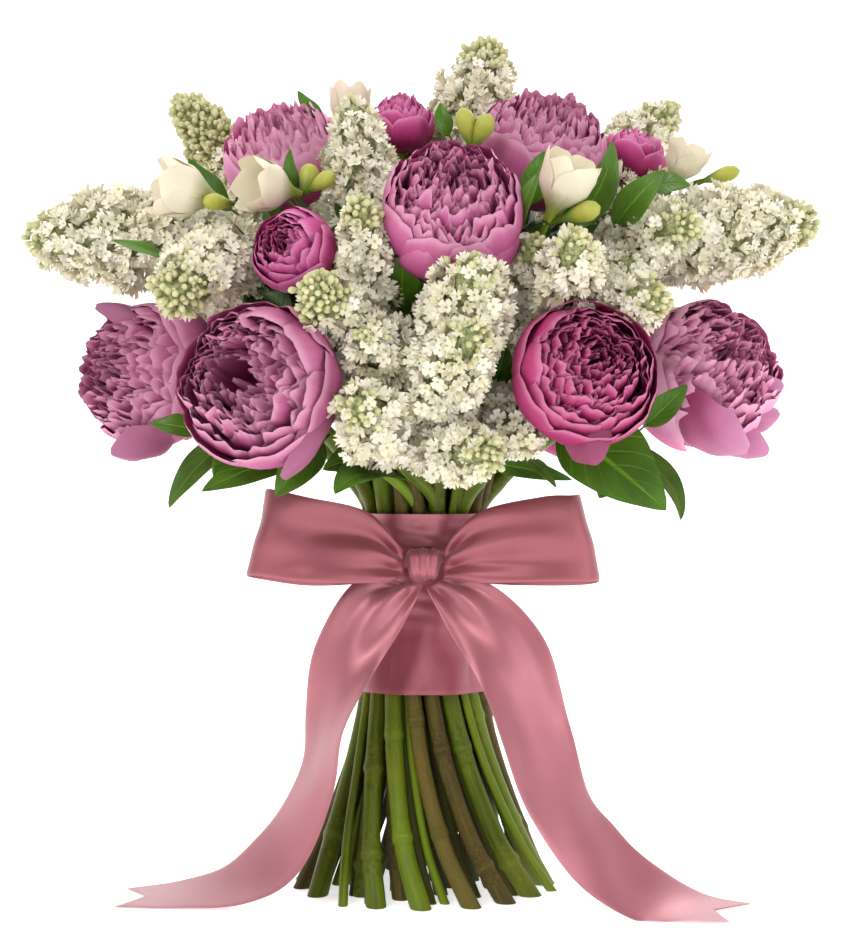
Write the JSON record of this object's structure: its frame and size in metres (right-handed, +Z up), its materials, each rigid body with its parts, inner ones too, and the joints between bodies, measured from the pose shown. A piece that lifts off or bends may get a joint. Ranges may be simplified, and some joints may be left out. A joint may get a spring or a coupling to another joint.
{
  "type": "hand-tied bunch of peonies",
  "caption": "Hand-tied bunch of pink peonies with white lilac and cream freesia, spiral stems held by a wide satin ribbon tied in a bow. It stands on its cut stem ends.",
  "frame": {"origin": "centre of the bunch's outline on the surface it stands on, under the middle of the bundle of stems", "axes": "+Z up along the bundle, -Y towards the front of the bow, +X to the right seen from the front"},
  "size_m": [0.476, 0.3482, 0.524],
  "materials": {
    "peony_pink": "soft matte petals",
    "peony_magenta": "soft matte petals",
    "lilac_white": "matte florets",
    "freesia_cream": "soft waxy petals",
    "stem_green": "smooth green stem",
    "lilac_wood": "olive bark",
    "leaf_green": "slightly glossy leaf",
    "ribbon_satin": "satin ribbon"
  },
  "bodies": {
    "root": {"peony_bloom_01": "peony_pink", "peony_stem_01": "stem_green", "peony_bloom_02": "peony_pink", "peony_stem_02": "stem_green", "peony_bloom_03": "peony_pink", "peony_stem_03": "stem_green", "peony_bloom_04": "peony_pink", "peony_stem_04": "stem_green", "peony_bloom_05": "peony_pink", "peony_stem_05": "stem_green", "peony_bloom_06": "peony_pink", "peony_stem_06": "stem_green", "peony_bloom_07": "peony_pink", "peony_stem_07": "stem_green", "peony_bloom_08": "peony_magenta", "peony_stem_08": "stem_green", "peony_bloom_09": "peony_magenta", "peony_stem_09": "stem_green", "peony_bloom_10": "peony_magenta", "peony_stem_10": "stem_green", "peony_bloom_11": "peony_pink", "peony_stem_11": "stem_green", "peony_bloom_12": "peony_pink", "peony_stem_12": "stem_green", "lilac_panicles_01": "lilac_white", "lilac_stem_01": "lilac_wood", "lilac_panicles_02": "lilac_white", "lilac_stem_02": "lilac_wood", "lilac_panicles_03": "lilac_white", "lilac_stem_03": "lilac_wood", "lilac_panicles_04": "lilac_white", "lilac_stem_04": "lilac_wood", "lilac_panicles_05": "lilac_white", "lilac_stem_05": "lilac_wood", "lilac_panicles_06": "lilac_white", "lilac_stem_06": "lilac_wood", "lilac_panicles_07": "lilac_white", "lilac_stem_07": "lilac_wood", "lilac_panicles_08": "lilac_white", "lilac_stem_08": "lilac_wood", "lilac_panicles_09": "lilac_white", "lilac_stem_09": "lilac_wood", "freesia_01": "freesia_cream", "freesia_02": "freesia_cream", "freesia_03": "freesia_cream", "freesia_04": "freesia_cream", "freesia_05": "freesia_cream", "freesia_06": "freesia_cream", "leaf_01": "leaf_green", "leaf_02": "leaf_green", "leaf_03": "leaf_green", "leaf_04": "leaf_green", "leaf_05": "leaf_green", "leaf_06": "leaf_green", "ribbon_wrap": "ribbon_satin", "bow_knot": "ribbon_satin", "bow_loop_left": "ribbon_satin", "bow_loop_right": "ribbon_satin", "ribbon_tail_left": "ribbon_satin", "ribbon_tail_right": "ribbon_satin"}
  },
  "joints": []
}
